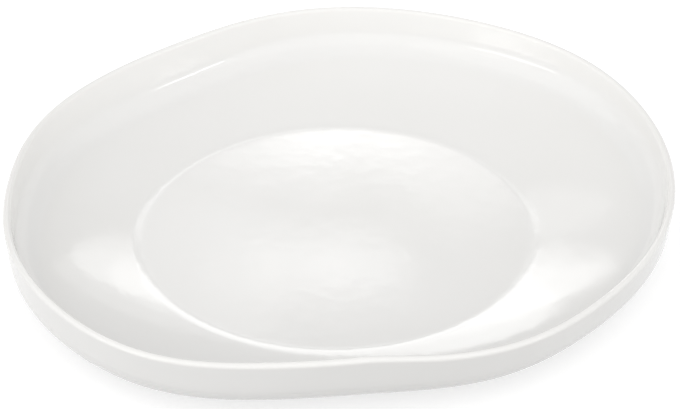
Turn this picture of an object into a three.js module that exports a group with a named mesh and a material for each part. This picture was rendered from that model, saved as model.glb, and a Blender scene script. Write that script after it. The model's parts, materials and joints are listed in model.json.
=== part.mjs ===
import * as THREE from 'three';

// A glazed porcelain plate: a turned floor and foot ring, a rising band and an upright wall
// whose rim runs round freely, wider along one diagonal and wavy in height.
// Millimetres, +Z up, standing on z = 0, with its outline centred on the origin.

// Floor and foot ring, turned about one upright axis
const wellRadius = 82;
const floorThickness = 4.2;
const footRadius = 81.5;
const footHeight = 2.6;
const footLand = 3.5;
const footFlare = 1.6;
const footFillet = 2;
const footEdge = 0.5;

// Band that climbs from the well to the wall in a shallow hollow, with its slope at the crease
const bandSlope = 7.5;
const bandRadius = 286;
const creaseRadius = 48;

// Wall and rim
const rimRadius = 135.7;
const rimHeight = 35.8;
const rimThickness = 2.6;
const wallThickness = 3.4;
const wallFootHeight = 15.6;
const wallFillet = 13;
const bellyHeight = 9.6;
const bellyRadius = 26;

// Glaze, and the height where it stops on both sides of the bare foot ring
const glazeThickness = 0.3;
const glazeLine = 1;

// The free outline, as departures spread evenly anticlockwise from +X
const rimSwells = [3, 5, 8, 4, 3.5, 2, -8, -7, -2, -3, 2.5, 3, 4, -7.5, -10.5, -2.5, -4.5, 0.5];
const rimWaves = [-3, -1, 0, 0.5, 0, 0, -0.5, -1.5, -2.5, 2, -4, -4.5];
const wallLeans = [1, 2, 3, 3, 1, 2, 11, 5.5];

// A small crest pinched up in the rim, by its bearing and half width in degrees
const crestBearing = 277;
const crestSpread = 6;
const crestRise = 1.2;

// Facets round the plate and along its curved runs
const bearingSteps = 60;
const cornerSteps = 4;
const coveSteps = 6;
const bandSteps = 4;
const bellySteps = 5;
const easeSteps = 2;

const claySpec = { color: 0xe8e2d6, roughness: 0.85, metalness: 0 };
const glazeSpec = { color: 0xf0efeb, roughness: 0.12, metalness: 0 };

// Smooth closed curve drawn by evenly spread values, as a uniform cubic B-spline
function roundTheRim(values, bearing) {
  const count = values.length;
  const place = (bearing / (2 * Math.PI)) * count;
  const first = Math.floor(place);
  const t = place - first;
  const value = (step) => values[(first + step + count) % count];
  const weights = [
    (1 - t) ** 3,
    3 * t ** 3 - 6 * t ** 2 + 4,
    -3 * t ** 3 + 3 * t ** 2 + 3 * t + 1,
    t ** 3,
  ];
  return weights.reduce((sum, weight, i) => sum + (weight * value(i - 1)) / 6, 0);
}

// Radius and height of the rim, and how far the wall leans out below it
function outlineAt(bearing) {
  const turn = THREE.MathUtils.radToDeg(bearing) - crestBearing;
  const fromCrest = THREE.MathUtils.euclideanModulo(turn + 180, 360) - 180;
  const crest = crestRise * Math.exp(-((fromCrest / crestSpread) ** 2));
  return {
    radius: rimRadius + roundTheRim(rimSwells, bearing),
    height: rimHeight + roundTheRim(rimWaves, bearing) + crest,
    lean: roundTheRim(wallLeans, bearing),
  };
}

// Points of an arc about a centre, both ends included
function arc(centre, radius, from, to, steps) {
  return Array.from({ length: steps + 1 }, (_, i) => {
    const angle = from + ((to - from) * i) / steps;
    return new THREE.Vector2(radius, 0).rotateAround(new THREE.Vector2(), angle).add(centre);
  });
}

// A corner between two straight runs rounded by an arc, which keeps to half of the shorter run
function roundedCorner(before, corner, after, radius, steps) {
  const back = before.clone().sub(corner);
  const ahead = after.clone().sub(corner);
  const halfAngle = back.angleTo(ahead) / 2;
  const room = Math.min(back.length(), ahead.length()) / 2;
  const fitted = Math.min(radius, room * Math.tan(halfAngle));
  const middle = back.clone().normalize().add(ahead.clone().normalize()).normalize();
  const centre = corner.clone().addScaledVector(middle, fitted / Math.sin(halfAngle));
  const turn = Math.sign(back.cross(ahead)) * (Math.PI - 2 * halfAngle);
  const halfway = middle.clone().negate().angle();
  return arc(centre, fitted, halfway + turn / 2, halfway - turn / 2, steps);
}

// Hollow run from the wall to the crease: a cove that touches the wall's line, then the band's arc
function coveAndBand(rimInside, wallFoot, crease) {
  const slope = THREE.MathUtils.degToRad(bandSlope);
  const climb = new THREE.Vector2(Math.cos(slope), Math.sin(slope));
  const bandCentre = crease.clone().addScaledVector(new THREE.Vector2(-climb.y, climb.x), bandRadius);
  const upWall = rimInside.clone().sub(wallFoot).normalize();
  const inward = new THREE.Vector2(-upWall.y, upWall.x);
  const offset = wallFoot.clone().addScaledVector(inward, wallFillet).sub(bandCentre);
  const along = offset.dot(upWall);
  const reach = bandRadius - wallFillet;
  const rise = -along - Math.sqrt(along ** 2 - offset.lengthSq() + reach ** 2);
  const coveCentre = bandCentre.clone().add(offset).addScaledVector(upWall, rise);

  const wallEnd = Math.atan2(-inward.y, -inward.x);
  const bandEnd = Math.atan2(coveCentre.y - bandCentre.y, coveCentre.x - bandCentre.x);
  const cove = arc(coveCentre, wallFillet, wallEnd, bandEnd, coveSteps);
  const band = arc(bandCentre, bandRadius, bandEnd, slope - Math.PI / 2, bandSteps);
  const lower = crease.clone().addScaledVector(climb, creaseRadius);
  return { cove, band: band.slice(1, bandSteps), lower };
}

function between(from, to, share) {
  return from.clone().lerp(to, share);
}

function midpoint(from, to) {
  return between(from, to, 0.5);
}

// Clay section at one bearing, as radius and height, in three runs: the glazed underside from its
// middle out, the bare foot, and the glazed rest up the outside and over the rim to the floor's middle
function claySection(bearing) {
  const { radius, height, lean } = outlineAt(bearing);
  const floorTop = footHeight + floorThickness;
  const underside = new THREE.Vector2(0, footHeight);
  const footInside = new THREE.Vector2(footRadius - footLand / 2, 0);
  const footOutside = new THREE.Vector2(footRadius + footLand / 2, 0);
  const footRootInside = new THREE.Vector2(footInside.x - footFlare, footHeight);
  const footRootOutside = new THREE.Vector2(footOutside.x + footFlare, footHeight);
  const floor = new THREE.Vector2(0, floorTop);
  const crease = new THREE.Vector2(wellRadius, floorTop);
  const wallFoot = new THREE.Vector2(radius - lean - wallThickness, wallFootHeight);
  const belly = new THREE.Vector2(radius - lean, bellyHeight);

  const rimCentre = new THREE.Vector2(radius - rimThickness / 2, height - rimThickness / 2);
  const tilt = Math.atan2(lean, rimCentre.y - belly.y);
  const rim = arc(rimCentre, rimThickness / 2, -tilt, Math.PI - tilt, cornerSteps);
  const rimOutside = rim[0];
  const rimInside = rim[cornerSteps];

  const lineShare = glazeLine / footHeight;
  const lineInside = between(footInside, footRootInside, lineShare);
  const lineOutside = between(footOutside, footRootOutside, lineShare);

  const below = [
    underside,
    ...roundedCorner(underside, footRootInside, lineInside, footFillet, easeSteps),
    lineInside,
  ];
  const bareFoot = [
    ...roundedCorner(lineInside, footInside, footOutside, footEdge, easeSteps),
    ...roundedCorner(footInside, footOutside, lineOutside, footEdge, easeSteps),
  ];
  const bellyRun = roundedCorner(footRootOutside, belly, rimOutside, bellyRadius, bellySteps);
  const { cove, band, lower } = coveAndBand(rimInside, wallFoot, crease);
  const above = [
    lineOutside,
    ...roundedCorner(lineOutside, footRootOutside, belly, footFillet, easeSteps),
    midpoint(footRootOutside, bellyRun[0]),
    ...bellyRun,
    midpoint(bellyRun[bellySteps], rimOutside),
    ...rim,
    midpoint(rimInside, cove[0]),
    ...cove,
    ...band,
    ...roundedCorner(lower, crease, floor, creaseRadius, easeSteps),
    floor,
  ];
  return { below, bareFoot, above };
}

// The same run moved off the clay by the glaze, square to the surface
function glazed(run) {
  return run.map((point, i) => {
    const along = run[Math.min(i + 1, run.length - 1)].clone().sub(run[Math.max(i - 1, 0)]);
    if (point.x === 0) along.y = 0;
    const outward = new THREE.Vector2(along.y, -along.x).normalize();
    return point.clone().addScaledVector(outward, glazeThickness);
  });
}

// Closed solid from sections that start and end on the axis. Stations carry the order in which
// the clay surface runs, so that clay and glaze share the same facets where they touch.
function turnedSolid(sectionAt) {
  const sections = Array.from({ length: bearingSteps }, (_, i) => {
    const bearing = (2 * Math.PI * i) / bearingSteps;
    return { bearing, stations: sectionAt(bearing) };
  });
  const stationCount = sections[0].stations.length;
  const lastStation = stationCount - 1;
  const positions = [];
  const index = [];

  for (const { bearing, stations } of sections) {
    for (const { point } of stations) {
      positions.push(point.x * Math.cos(bearing), point.x * Math.sin(bearing), point.y);
    }
  }
  const vertex = (bearingStep, station) => {
    const onAxis = station === 0 || station === lastStation;
    return (onAxis ? 0 : bearingStep % bearingSteps) * stationCount + station;
  };
  const orders = sections[0].stations.map((station) => station.order);

  for (let i = 0; i < bearingSteps; i += 1) {
    for (let k = 0; k < lastStation; k += 1) {
      const a = vertex(i, k);
      const b = vertex(i + 1, k);
      const c = vertex(i + 1, k + 1);
      const d = vertex(i, k + 1);
      const forward = orders[k + 1] >= orders[k];
      const facets = forward ? [[a, b, c], [a, c, d]] : [[a, b, d], [b, c, d]];
      for (const facet of facets) {
        if (new Set(facet).size === 3) index.push(...facet);
      }
    }
  }
  const geometry = new THREE.BufferGeometry();
  geometry.setAttribute('position', new THREE.Float32BufferAttribute(positions, 3));
  geometry.setIndex(index);
  geometry.computeVertexNormals();
  return geometry;
}

function ordered(run) {
  return run.map((point, order) => ({ point, order }));
}

function bodyStations(bearing) {
  const { below, bareFoot, above } = claySection(bearing);
  return ordered([...below, ...bareFoot, ...above]);
}

// The coat runs out along the clay from the floor's middle and back over its own face
function mainGlazeStations(bearing) {
  const { above } = claySection(bearing);
  return [...ordered(above).reverse(), ...ordered(glazed(above))];
}

function baseGlazeStations(bearing) {
  const { below } = claySection(bearing);
  return [...ordered(glazed(below)), ...ordered(below).reverse()];
}

function piece(name, geometry, spec) {
  const mesh = new THREE.Mesh(geometry, new THREE.MeshStandardMaterial(spec));
  mesh.name = name;
  return mesh;
}

// The turning axis stands off the middle of the free outline
const turned = new THREE.Group();
turned.add(piece('porcelain_body', turnedSolid(bodyStations), claySpec));
turned.add(piece('main_glaze_coat', turnedSolid(mainGlazeStations), glazeSpec));
turned.add(piece('base_glaze_disc', turnedSolid(baseGlazeStations), glazeSpec));

const middle = new THREE.Box3().setFromObject(turned).getCenter(new THREE.Vector3());
turned.position.set(-middle.x, -middle.y, 0);

const plate = new THREE.Group();
plate.add(turned);

export default plate;
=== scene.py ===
import json
import math

import bpy
import numpy as np
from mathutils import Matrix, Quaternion, Vector

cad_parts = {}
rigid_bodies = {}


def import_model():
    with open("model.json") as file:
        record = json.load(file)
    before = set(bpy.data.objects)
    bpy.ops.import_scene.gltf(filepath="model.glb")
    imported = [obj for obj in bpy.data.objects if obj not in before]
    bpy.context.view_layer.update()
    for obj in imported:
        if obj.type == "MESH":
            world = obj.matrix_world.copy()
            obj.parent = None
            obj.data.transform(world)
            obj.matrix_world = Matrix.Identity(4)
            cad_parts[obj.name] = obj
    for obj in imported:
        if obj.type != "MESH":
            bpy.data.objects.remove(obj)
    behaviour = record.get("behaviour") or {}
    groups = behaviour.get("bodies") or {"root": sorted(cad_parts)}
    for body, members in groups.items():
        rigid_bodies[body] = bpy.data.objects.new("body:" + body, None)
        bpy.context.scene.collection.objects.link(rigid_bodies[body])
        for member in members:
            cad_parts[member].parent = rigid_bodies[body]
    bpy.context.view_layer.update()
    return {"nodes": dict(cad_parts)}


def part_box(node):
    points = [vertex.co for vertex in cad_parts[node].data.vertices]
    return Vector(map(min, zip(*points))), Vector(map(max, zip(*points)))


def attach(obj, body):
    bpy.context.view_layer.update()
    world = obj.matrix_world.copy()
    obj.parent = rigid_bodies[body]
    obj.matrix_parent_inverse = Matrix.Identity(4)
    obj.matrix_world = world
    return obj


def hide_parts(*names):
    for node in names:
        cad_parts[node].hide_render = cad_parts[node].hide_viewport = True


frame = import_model()
mm = 0.001
print("frame loaded:", sorted(frame["nodes"]))


def clearSelection():
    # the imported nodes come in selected, and an operator acts on all that is selected
    bpy.ops.object.select_all(action="DESELECT")


# Camera at the photograph's angle
photoCamera = {
    "target": (-0.68, -7.89, 22.1),  # mm, in the plate
    "distance": 1000.0,  # mm
    "pitch": 33.94,  # degrees down
    "roll": -0.8345,  # degrees, its right side a little low
    "focalPixels": 2434.4,  # for an image of this width
    "imageWidth": 680,
    "sensor": 36.0,  # mm
    "clip": (0.05, 50.0),  # m
}


def placeCamera(shot):
    clearSelection()
    pitch = math.radians(shot["pitch"])
    look = Vector((0, math.cos(pitch), -math.sin(pitch)))
    target = Vector(shot["target"]) * mm
    bpy.ops.object.camera_add(location=target - look * shot["distance"] * mm)
    camera = bpy.context.object
    camera.name = "photoCamera"
    roll = Quaternion((0, 0, 1), math.radians(shot["roll"]))
    camera.rotation_euler = (look.to_track_quat("-Z", "Y") @ roll).to_euler()
    camera.data.sensor_width = shot["sensor"]
    camera.data.lens = shot["focalPixels"] / shot["imageWidth"] * shot["sensor"]
    camera.data.clip_start, camera.data.clip_end = shot["clip"]
    bpy.context.scene.camera = camera


placeCamera(photoCamera)
print("camera placed")


# The plate's section in clay, millimetres; the glaze lies on top of it
plateSection = {
    "ringSides": 120,  # sides of every ring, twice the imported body's
    "footRadius": 81.5,  # to the middle of the land that it stands on
    "footLand": 3.5,
    "footFlare": 1.6,
    "footHeight": 2.6,
    "footFillet": 2.0,
    "footEdge": 0.5,
    "glazeLine": 1.0,  # height where the glaze stops on the foot
    "floorThickness": 4.2,
    "wellRadius": 82.0,
    "creaseRadius": 48.0,
    "bandSlope": 7.5,  # degrees, at the crease
    "bandRadius": 286.0,  # of the band's shallow hollow
    "bellyHeight": 9.6,
    "bellyRadius": 26.0,
    "wallThickness": 3.4,
    "wallFootHeight": 15.6,
    "wallFillet": 13.0,
    "rimThickness": 2.6,
    "wallLevel": (22.0, 29.0),  # heights between which only the plain wall lies
    "patchRadius": 34.0,  # the flat middle inside this is a grid patch
}

# Rings along each rounded or straight run of the section
sectionSteps = {
    "fillet": 4,
    "edge": 3,
    "underside": 3,
    "belly": 10,
    "wall": 3,
    "rim": 10,
    "cove": 12,
    "band": 10,
    "crease": 6,
    "floor": 4,
}

discLow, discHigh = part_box("base_glaze_disc")
axis = (discLow + discHigh) / 2  # the turning axis stands off the outline's middle


def readRim(section):
    # clay rim radius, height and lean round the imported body, with a bearing more halfway to the next
    body = frame["nodes"]["porcelain_body"]
    points = np.array([vertex.co for vertex in body.data.vertices], float) / mm
    across = points[:, :2] - np.array(axis[:2]) / mm
    reach = np.hypot(across[:, 0], across[:, 1])
    sides = section["ringSides"] // 2
    turns = np.arctan2(across[:, 1], across[:, 0]) / math.tau
    bearings = np.round(turns * sides).astype(int) % sides
    half = section["rimThickness"] / 2
    low, high = section["wallLevel"]
    rim = []
    for bearing in range(sides):
        here = bearings == bearing
        out, up = reach[here], points[here, 2]
        edge = out.argmax()
        wall = np.where((up > low) & (up < high), out, 0).argmax()
        slope = (out[edge] - out[wall]) / (up[edge] - up[wall])
        tilt = math.atan(slope)
        centreOut = out[edge] - half * math.cos(tilt)
        centreUp = up[edge] + half * math.sin(tilt)
        rim.append((centreOut + half, centreUp + half, slope * (centreUp - section["bellyHeight"])))
    rim = np.array(rim)
    nearShare, farShare = 9 / 16, 1 / 16  # of a cubic through four even steps, at its middle
    near = rim + np.roll(rim, -1, 0)
    far = np.roll(rim, 1, 0) + np.roll(rim, -2, 0)
    return np.stack([rim, nearShare * near - farShare * far], 1).reshape(-1, 3)


def arcPoints(centre, radius, start, end, count):
    middleOut, middleUp = centre
    angles = np.linspace(start, end, count + 1)
    return [(middleOut + radius * math.cos(angle), middleUp + radius * math.sin(angle)) for angle in angles]


def roundedCorner(before, corner, after, radius, count):
    corner = Vector(corner)
    back, ahead = Vector(before) - corner, Vector(after) - corner
    half = back.angle(ahead) / 2
    radius = min(radius, min(back.length, ahead.length) / 2 * math.tan(half))
    middle = (back.normalized() + ahead.normalized()).normalized()
    centre = corner + middle * radius / math.sin(half)
    turn = math.copysign(math.pi - 2 * half, back.x * ahead.y - back.y * ahead.x)
    facing = math.atan2(-middle.y, -middle.x)
    return arcPoints(centre, radius, facing + turn / 2, facing - turn / 2, count)


def between(start, end, count):
    shares = np.linspace(0, 1, count + 2)[1:-1]
    return [tuple(Vector(start).lerp(Vector(end), share)) for share in shares]


def footCorners(section):
    # each corner of the foot ring on its inner and its outer side, and where the glaze stops there
    flare, height, line = section["footFlare"], section["footHeight"], section["glazeLine"]
    corners = {}
    for side, outward in (("In", -1), ("Out", 1)):
        land = section["footRadius"] + outward * section["footLand"] / 2
        corners["land" + side] = (land, 0)
        corners["line" + side] = (land + outward * flare * line / height, line)
        corners["root" + side] = (land + outward * flare, height)
    return corners


def coveAndBand(section, steps, rimInside, wallFoot, crease):
    # a cove that touches the wall's line, then the band's shallow arc down to the crease
    slope = math.radians(section["bandSlope"])
    bandRadius, coveRadius = section["bandRadius"], section["wallFillet"]
    climb = Vector((math.cos(slope), math.sin(slope)))
    bandCentre = Vector(crease) + Vector((-climb.y, climb.x)) * bandRadius
    upWall = (Vector(rimInside) - Vector(wallFoot)).normalized()
    inward = Vector((-upWall.y, upWall.x))
    offset = Vector(wallFoot) + inward * coveRadius - bandCentre
    along = offset.dot(upWall)
    rise = -along - math.sqrt(along ** 2 - offset.length_squared + (bandRadius - coveRadius) ** 2)
    fromBand = offset + upWall * rise
    coveStart = math.atan2(-inward.y, -inward.x)
    coveEnd = math.atan2(fromBand.y, fromBand.x)
    cove = arcPoints(bandCentre + fromBand, coveRadius, coveStart, coveEnd, steps["cove"])
    eased = section["creaseRadius"] * math.tan(slope / 2) / bandRadius  # left to the crease's rounding
    band = arcPoints(bandCentre, bandRadius, coveEnd, slope - math.pi / 2 + eased, steps["band"])
    return cove, band[1:-1], Vector(crease) + climb * section["creaseRadius"]


def claySection(section, steps, rimRadius, rimHeight, lean):
    # runs of points under the plate, round its foot, then up the outside and down the inside
    foot = footCorners(section)
    floorTop = section["footHeight"] + section["floorThickness"]
    underPatch = (section["patchRadius"], section["footHeight"])
    floorPatch = (section["patchRadius"], floorTop)
    crease = (section["wellRadius"], floorTop)
    wallFoot = (rimRadius - lean - section["wallThickness"], section["wallFootHeight"])
    belly = (rimRadius - lean, section["bellyHeight"])
    half = section["rimThickness"] / 2
    rimCentre = (rimRadius - half, rimHeight - half)
    tilt = math.atan2(lean, rimCentre[1] - belly[1])
    rim = arcPoints(rimCentre, half, -tilt, math.pi - tilt, steps["rim"])

    fillet, edge = section["footFillet"], section["footEdge"]
    rootIn = roundedCorner(underPatch, foot["rootIn"], foot["lineIn"], fillet, steps["fillet"])
    rootOut = roundedCorner(foot["lineOut"], foot["rootOut"], belly, fillet, steps["fillet"])
    bellyArc = roundedCorner(foot["rootOut"], belly, rim[0], section["bellyRadius"], steps["belly"])
    cove, band, bandStart = coveAndBand(section, steps, rim[-1], wallFoot, crease)
    creaseArc = roundedCorner(bandStart, crease, floorPatch, section["creaseRadius"], steps["crease"])

    below = [underPatch, *between(underPatch, rootIn[0], steps["floor"]), *rootIn, foot["lineIn"]]
    ring = [
        *roundedCorner(foot["lineIn"], foot["landIn"], foot["landOut"], edge, steps["edge"]),
        *roundedCorner(foot["landIn"], foot["landOut"], foot["lineOut"], edge, steps["edge"]),
    ]
    above = [
        foot["lineOut"], *rootOut,
        *between(rootOut[-1], bellyArc[0], steps["underside"]), *bellyArc,
        *between(bellyArc[-1], rim[0], steps["wall"]), *rim,
        *between(rim[-1], cove[0], steps["wall"]), *cove, *band, *creaseArc,
        *between(creaseArc[-1], floorPatch, steps["floor"]), floorPatch,
    ]
    return below, ring, above


rimOutline = readRim(plateSection)
sections = [claySection(plateSection, sectionSteps, *rim) for rim in rimOutline]
for measure, values in zip(("radius", "height"), rimOutline.T):
    print(f"rim {measure}: {values.min():.1f} to {values.max():.1f} mm")


def turnBlank(name, mean):
    # a round blank, extruded ring by ring along one section
    startOut, startUp = mean[0] * mm
    clearSelection()
    bpy.ops.mesh.primitive_circle_add(
        vertices=plateSection["ringSides"],
        radius=startOut,
        fill_type="NOTHING",
        location=(axis.x, axis.y, startUp),
    )
    piece = bpy.context.object
    piece.name = piece.data.name = name
    bpy.ops.object.transform_apply(location=True, rotation=True, scale=True)
    bpy.ops.object.mode_set(mode="EDIT")
    bpy.ops.mesh.select_all(action="SELECT")
    for (out, up), (nextOut, nextUp) in zip(mean, mean[1:]):
        bpy.ops.mesh.extrude_region_move(TRANSFORM_OT_translate={"value": (0, 0, (nextUp - up) * mm)})
        grow = nextOut / out
        bpy.ops.transform.resize(value=(grow, grow, 1), center_override=(axis.x, axis.y, nextUp * mm))
    bpy.ops.object.mode_set(mode="OBJECT")
    return piece


def turnRings(name, runs):
    # a blank of the mean section, drawn out at every bearing to the section there
    sides = plateSection["ringSides"]
    piece = turnBlank(name, np.mean(np.array(runs), 0))
    for index, vertex in enumerate(piece.data.vertices):
        offset = vertex.co - axis
        bearing = math.atan2(offset.y, offset.x)
        out, up = runs[round(bearing / math.tau * sides) % sides][index // sides]
        vertex.co = (axis.x + out * mm * math.cos(bearing), axis.y + out * mm * math.sin(bearing), up * mm)
    return piece


def fillMiddle(piece, ring):
    # a grid patch closes the flat middle inside one end ring, a quarter of the ring along each side
    sides = plateSection["ringSides"]
    bpy.ops.object.mode_set(mode="EDIT")
    bpy.ops.mesh.select_mode(type="VERT")
    bpy.ops.mesh.select_all(action="DESELECT")
    bpy.ops.object.mode_set(mode="OBJECT")
    for vertex in piece.data.vertices[ring * sides:(ring + 1) * sides]:
        vertex.select = True
    bpy.ops.object.mode_set(mode="EDIT")
    bpy.ops.mesh.select_mode(type="EDGE")
    bpy.ops.mesh.fill_grid(span=sides // 4)
    bpy.ops.object.mode_set(mode="OBJECT")


def faceOut(piece, upward):
    # one winding all over, with the patch that was filled last facing the way it should
    bpy.ops.object.mode_set(mode="EDIT")
    bpy.ops.mesh.select_all(action="SELECT")
    bpy.ops.mesh.normals_make_consistent(inside=False)
    bpy.ops.object.mode_set(mode="OBJECT")
    if (piece.data.polygons[-1].normal.z > 0) != upward:
        bpy.ops.object.mode_set(mode="EDIT")
        bpy.ops.mesh.flip_normals()
        bpy.ops.object.mode_set(mode="OBJECT")


def coatWith(piece, thickness):
    coat = piece.modifiers.new("glazeThickness", "SOLIDIFY")
    coat.thickness = thickness * mm
    coat.offset = 1
    coat.use_even_offset = True
    bpy.ops.object.modifier_apply(modifier=coat.name)


def smoothOff(piece, levels):
    finer = piece.modifiers.new("finer", "SUBSURF")
    finer.levels = finer.render_levels = levels
    bpy.ops.object.modifier_apply(modifier=finer.name)
    bpy.ops.object.shade_smooth()


# Glaze over everything above the foot ring
glazeCoat = {"thickness": 0.2, "levels": 1}  # mm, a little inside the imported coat

coatPiece = turnRings("glazeCoat", [above for below, ring, above in sections])
fillMiddle(coatPiece, len(sections[0][2]) - 1)
faceOut(coatPiece, True)
coatWith(coatPiece, glazeCoat["thickness"])
smoothOff(coatPiece, glazeCoat["levels"])
print("glaze coat:", len(coatPiece.data.polygons), "faces")


# Fired body inside the glaze, bare on the foot ring
clayBody = {"levels": 1}

bodyPiece = turnRings("clayBody", [below + ring + above for below, ring, above in sections])
fillMiddle(bodyPiece, 0)
fillMiddle(bodyPiece, sum(len(run) for run in sections[0]) - 1)
faceOut(bodyPiece, True)
smoothOff(bodyPiece, clayBody["levels"])
print("clay body:", len(bodyPiece.data.polygons), "faces")


# Glaze inside the foot ring
baseGlaze = {"thickness": 0.2, "levels": 1}  # mm, as the coat above

basePiece = turnRings("baseGlaze", [below for below, ring, above in sections])
fillMiddle(basePiece, 0)
faceOut(basePiece, False)
coatWith(basePiece, baseGlaze["thickness"])
smoothOff(basePiece, baseGlaze["levels"])
print("base glaze:", len(basePiece.data.polygons), "faces")


# How the fired glaze lies: thin over convex edges, gathered in hollows
glazeFlow = {
    "attribute": "glazeFlow",  # from -1, thinnest, to 1, gathered
    "thinBend": 1.6,  # mm, edge radius at which the glaze is thinnest
    "pooledBend": 13.0,  # mm, hollow radius at which it is deepest
    "shortestEdge": 0.001,  # mm, so that no length divides by zero
}


def markGlazeFlow(piece, look):
    mesh = piece.data
    points = np.empty(len(mesh.vertices) * 3)
    facing = np.empty(len(mesh.vertices) * 3)
    ends = np.empty(len(mesh.edges) * 2, int)
    mesh.vertices.foreach_get("co", points)
    mesh.vertices.foreach_get("normal", facing)
    mesh.edges.foreach_get("vertices", ends)
    points, facing, ends = points.reshape(-1, 3), facing.reshape(-1, 3), ends.reshape(-1, 2)
    shortest = look["shortestEdge"] * mm
    bend, count = np.zeros(len(points)), np.zeros(len(points))
    for near, far in ((0, 1), (1, 0)):
        along = points[ends[:, far]] - points[ends[:, near]]
        rise = (along * facing[ends[:, near]]).sum(1)
        np.add.at(bend, ends[:, near], 2 * rise / np.maximum((along ** 2).sum(1), shortest ** 2))
        np.add.at(count, ends[:, near], 1)
    bend *= 2 / np.maximum(count, 1)  # half of the edges run round the plate, nearly straight
    flow = np.where(bend > 0, bend * look["pooledBend"] * mm, bend * look["thinBend"] * mm)
    layer = mesh.attributes.new(look["attribute"], "FLOAT", "POINT")
    layer.data.foreach_set("value", np.clip(flow, -1, 1))


for piece in (coatPiece, basePiece):
    markGlazeFlow(piece, glazeFlow)
print("glaze flow marked")


def feed(tree, socket, value):
    # another node's output is linked to the socket, and a plain value is set on it
    if isinstance(value, bpy.types.NodeSocket):
        tree.links.new(value, socket)
    else:
        socket.default_value = value


def mathNode(tree, operation, first, second):
    node = tree.nodes.new("ShaderNodeMath")
    node.operation = operation
    feed(tree, node.inputs[0], first)
    feed(tree, node.inputs[1], second)
    return node.outputs[0]


def spreadTo(tree, value, fromLow, fromHigh, low, high):
    node = tree.nodes.new("ShaderNodeMapRange")
    ends = {"Value": value, "From Min": fromLow, "From Max": fromHigh, "To Min": low, "To Max": high}
    for socketName, end in ends.items():
        feed(tree, node.inputs[socketName], end)
    return node.outputs["Result"]


# A Mix node's colour sockets share their names with others, so they go by number
mixSockets = {"share": 0, "first": 6, "second": 7, "colour": 2}


def blend(tree, share, first, second):
    # colour mix; each end is a plain colour or another node's colour
    node = tree.nodes.new("ShaderNodeMix")
    node.data_type = "RGBA"
    feed(tree, node.inputs[mixSockets["share"]], share)
    feed(tree, node.inputs[mixSockets["first"]], first)
    feed(tree, node.inputs[mixSockets["second"]], second)
    return node.outputs[mixSockets["colour"]]


def noiseNode(tree, size, seed, detail):
    # noise whose blotches are about the given size in metres
    place = tree.nodes.new("ShaderNodeTexCoord")
    noise = tree.nodes.new("ShaderNodeTexNoise")
    noise.noise_dimensions = "4D"
    feed(tree, noise.inputs["Vector"], place.outputs["Object"])
    feed(tree, noise.inputs["W"], seed)
    feed(tree, noise.inputs["Scale"], mathNode(tree, "DIVIDE", 1.0, size))
    feed(tree, noise.inputs["Detail"], detail)
    return noise.outputs["Fac"]


def newGroup(name, inputs, outputs):
    group = bpy.data.node_groups.new(name, "ShaderNodeTree")
    for way, socketNames in (("INPUT", inputs), ("OUTPUT", outputs)):
        for socketName in socketNames:
            group.interface.new_socket(name=socketName, in_out=way, socket_type="NodeSocketFloat")
    return group, group.nodes.new("NodeGroupInput"), group.nodes.new("NodeGroupOutput")


# Slow patches, for tone and for gloss
softMottle = {
    "detail": 2.0,
    "contrast": (0.3, 0.7),  # this part of the noise spreads over 0 to 1
}


def makeMottle(look):
    group, entry, leave = newGroup("softMottle", ("Size", "Seed"), ("Tone",))
    noise = noiseNode(group, entry.outputs["Size"], entry.outputs["Seed"], look["detail"])
    feed(group, leave.inputs["Tone"], spreadTo(group, noise, *look["contrast"], 0, 1))
    return group


# Uneven skin left by firing: long swells with a finer tooth on them
firedSkin = {"swellDetail": 1.0, "toothDetail": 2.0}


def makeSkin(look):
    group, entry, leave = newGroup("firedSkin", ("Swell", "Tooth", "Bite", "Seed"), ("Height",))
    swell = noiseNode(group, entry.outputs["Swell"], entry.outputs["Seed"], look["swellDetail"])
    tooth = noiseNode(group, entry.outputs["Tooth"], entry.outputs["Seed"], look["toothDetail"])
    bitten = mathNode(group, "MULTIPLY", tooth, entry.outputs["Bite"])
    feed(group, leave.inputs["Height"], mathNode(group, "ADD", swell, bitten))
    return group


mottleGroup = makeMottle(softMottle)
skinGroup = makeSkin(firedSkin)
print("shared effects made")


def placeGroup(tree, group, values):
    node = tree.nodes.new("ShaderNodeGroup")
    node.node_tree = group
    for socketName, value in values.items():
        node.inputs[socketName].default_value = value
    return node.outputs[0]


def startMaterial(name):
    material = bpy.data.materials.new(name)
    material.use_nodes = True
    tree = material.node_tree
    return material, tree, tree.nodes["Principled BSDF"]


def fireSurface(tree, shader, look):
    # uneven gloss and the fired skin, each material with its own values
    gloss = placeGroup(tree, mottleGroup, look["gloss"])
    feed(tree, shader.inputs["Roughness"], spreadTo(tree, gloss, 0, 1, *look["roughness"]))
    bump = tree.nodes.new("ShaderNodeBump")
    feed(tree, bump.inputs["Distance"], look["skinDepth"])
    feed(tree, bump.inputs["Height"], placeGroup(tree, skinGroup, look["skin"]))
    feed(tree, shader.inputs["Normal"], bump.outputs["Normal"])


# Glossy white glaze, with its sizes in metres
whiteGlaze = {
    "colour": (0.819, 0.813, 0.799, 1),
    "patch": (0.804, 0.797, 0.779, 1),  # the warmer of its slow patches
    "thin": (0.815, 0.806, 0.788, 1),  # clay showing through on edges
    "pooled": (0.809, 0.804, 0.791, 1),  # a little cooler where it gathers
    "patches": {"Size": 0.07, "Seed": 1.0},
    "roughness": (0.06, 0.1),
    "gloss": {"Size": 0.03, "Seed": 4.0},
    "skin": {"Swell": 0.008, "Tooth": 0.0025, "Bite": 0.14, "Seed": 0.0},
    "skinDepth": 0.000042,
}


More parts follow.
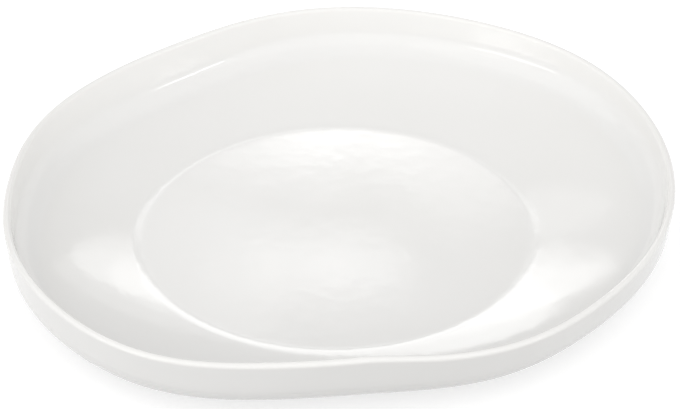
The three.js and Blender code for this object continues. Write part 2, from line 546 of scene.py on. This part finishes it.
def makeGlaze(look):
    material, tree, shader = startMaterial("whiteGlaze")
    flow = tree.nodes.new("ShaderNodeAttribute")
    flow.attribute_name = glazeFlow["attribute"]
    thin = spreadTo(tree, flow.outputs["Fac"], 0, -1, 0, 1)
    pooled = spreadTo(tree, flow.outputs["Fac"], 0, 1, 0, 1)
    colour = blend(tree, placeGroup(tree, mottleGroup, look["patches"]), look["colour"], look["patch"])
    colour = blend(tree, thin, colour, look["thin"])
    colour = blend(tree, pooled, colour, look["pooled"])
    feed(tree, shader.inputs["Base Color"], colour)
    fireSurface(tree, shader, look)
    return material


# Bare fired clay of the foot, ground flat where it stands, with its sizes in metres
bareClay = {
    "colour": (0.8, 0.77, 0.71, 1),
    "patch": (0.76, 0.72, 0.64, 1),
    "ground": (0.7, 0.685, 0.65, 1),  # standing face, greyed by use
    "groundHeight": 0.0003,  # up to which the ground face reaches
    "patches": {"Size": 0.012, "Seed": 2.0},
    "roughness": (0.7, 0.9),
    "gloss": {"Size": 0.004, "Seed": 5.0},
    "skin": {"Swell": 0.0009, "Tooth": 0.0003, "Bite": 0.7, "Seed": 0.0},
    "skinDepth": 0.00005,
}


def makeClay(look):
    material, tree, shader = startMaterial("bareClay")
    place = tree.nodes.new("ShaderNodeTexCoord")
    parts = tree.nodes.new("ShaderNodeSeparateXYZ")
    feed(tree, parts.inputs["Vector"], place.outputs["Object"])
    ground = spreadTo(tree, parts.outputs["Z"], look["groundHeight"], 0, 0, 1)
    colour = blend(tree, placeGroup(tree, mottleGroup, look["patches"]), look["colour"], look["patch"])
    colour = blend(tree, ground, colour, look["ground"])
    feed(tree, shader.inputs["Base Color"], colour)
    fireSurface(tree, shader, look)
    return material


glazeMaterial, clayMaterial = makeGlaze(whiteGlaze), makeClay(bareClay)
coatPiece.data.materials.append(glazeMaterial)
basePiece.data.materials.append(glazeMaterial)
bodyPiece.data.materials.append(clayMaterial)
print("materials made")


for piece, node, slot in (
    (coatPiece, "main_glaze_coat", "white_glaze"),
    (bodyPiece, "porcelain_body", "bare_porcelain"),
    (basePiece, "base_glaze_disc", "white_glaze"),
):
    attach(piece, "root")
    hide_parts(node)
print("pieces set on the frame")


# Pale floor, whiter to the eye than to the light that bounces off it
studioFloor = {"size": 8.0, "colour": (0.5, 0.5, 0.5, 1), "cameraGlow": 0.64}  # m


def layFloor(look):
    clearSelection()
    bpy.ops.mesh.primitive_plane_add(size=look["size"], location=(0, 0, 0))
    floor = bpy.context.object
    floor.name = "studioFloor"
    material = bpy.data.materials.new("studioFloor")
    material.use_nodes = True
    tree = material.node_tree
    tree.nodes.clear()
    output = tree.nodes.new("ShaderNodeOutputMaterial")
    paint = tree.nodes.new("ShaderNodeBsdfDiffuse")
    feed(tree, paint.inputs["Color"], look["colour"])
    glow = tree.nodes.new("ShaderNodeEmission")
    path = tree.nodes.new("ShaderNodeLightPath")
    seen = mathNode(tree, "MAXIMUM", path.outputs["Is Camera Ray"], path.outputs["Is Glossy Ray"])
    seen = mathNode(tree, "MAXIMUM", seen, path.outputs["Is Transmission Ray"])
    feed(tree, glow.inputs["Strength"], mathNode(tree, "MULTIPLY", seen, look["cameraGlow"]))
    both = tree.nodes.new("ShaderNodeAddShader")
    feed(tree, both.inputs[0], paint.outputs["BSDF"])
    feed(tree, both.inputs[1], glow.outputs["Emission"])
    feed(tree, output.inputs["Surface"], both.outputs["Shader"])
    floor.data.materials.append(material)


layFloor(studioFloor)
print("floor laid")


# Far softboxes: degrees across, from straight behind the plate round to the right, and degrees up
softboxDistance = 5.0  # m
softboxes = {
    # one large light behind the plate, built up of overlapping ellipses
    "keyWide": {"across": (-8, 8), "up": (22.5, 33.3), "strength": 0.55},
    "key": {"across": (-4.4, 5), "up": (25.2, 32.8), "strength": 0.85},
    "keyCore": {"across": (-3.2, 3), "up": (26, 32.5), "strength": 1.15},
    "keyLeft": {"across": (-6.2, 1.5), "up": (28.5, 32.9), "strength": 0.9},
    "keyRight": {"across": (0.8, 7.6), "up": (26.8, 34.2), "strength": 1.2},
    # its lower left end
    "leg": {"across": (-8, -1), "up": (23.2, 29.6), "strength": 0.9},
    "legCore": {"across": (-7, -3), "up": (23.8, 28.8), "strength": 0.9},
    "legFoot": {"across": (-4.4, 0.2), "up": (19.2, 27), "strength": 2.1},
    # a smaller glow above it
    "glowLeft": {"across": (-11, -2), "up": (33, 39), "strength": 0.65},
    "glowWide": {"across": (-5, 3), "up": (34.6, 37.2), "strength": 0.55},
    "glow": {"across": (-3.2, 2.2), "up": (34.9, 36.3), "strength": 1.6},
    # low strips at both sides
    "leftLow": {"across": (-136, -102), "up": (10, 14.5), "strength": 5.0},
    "rightLow": {"across": (109, 124), "up": (8, 12.5), "strength": 7.5},
    # broad fill from the sides and from the viewer
    "left": {"across": (-150, -60), "up": (0, 64), "strength": 0.5},
    "right": {"across": (60, 150), "up": (0, 64), "strength": 0.3},
    "front": {"across": (115, 245), "up": (0, 50), "strength": 0.45},
}


def hangSoftbox(name, box):
    clearSelection()
    across, up = (math.radians(sum(box[span]) / 2) for span in ("across", "up"))
    wide, high = (math.radians(box[span][1] - box[span][0]) for span in ("across", "up"))
    toward = Vector((math.cos(up) * math.sin(across), math.cos(up) * math.cos(across), math.sin(up)))
    bpy.ops.object.light_add(type="AREA", location=toward * softboxDistance)
    lamp = bpy.context.object
    lamp.name = lamp.data.name = name
    lamp.rotation_euler = (-toward).to_track_quat("-Z", "Y").to_euler()
    lamp.visible_camera = False
    lamp.data.shape = "ELLIPSE"
    lamp.data.size = 2 * softboxDistance * math.tan(wide / 2) * math.cos(up)
    lamp.data.size_y = 2 * softboxDistance * math.tan(high / 2)
    area = math.pi / 4 * lamp.data.size * lamp.data.size_y
    lamp.data.energy = box["strength"] * math.pi * area  # watts that make the ellipse this bright


for name, box in softboxes.items():
    hangSoftbox(name, box)
print("softboxes hung:", len(softboxes))


# Soft light from all round, stronger from the viewer's side
roomLight = {"colour": (1, 1, 1, 1), "front": 0.99, "back": 0.6}


def lightRoom(look):
    world = bpy.data.worlds.new("studioWorld")
    bpy.context.scene.world = world
    world.use_nodes = True
    tree = world.node_tree
    glow = tree.nodes["Background"]
    place = tree.nodes.new("ShaderNodeTexCoord")
    parts = tree.nodes.new("ShaderNodeSeparateXYZ")
    feed(tree, parts.inputs["Vector"], place.outputs["Generated"])
    feed(tree, glow.inputs["Color"], look["colour"])
    strength = spreadTo(tree, parts.outputs["Y"], -1, 1, look["front"], look["back"])
    feed(tree, glow.inputs["Strength"], strength)


lightRoom(roomLight)
bpy.context.scene.view_settings.view_transform = "Standard"
print("room lit")
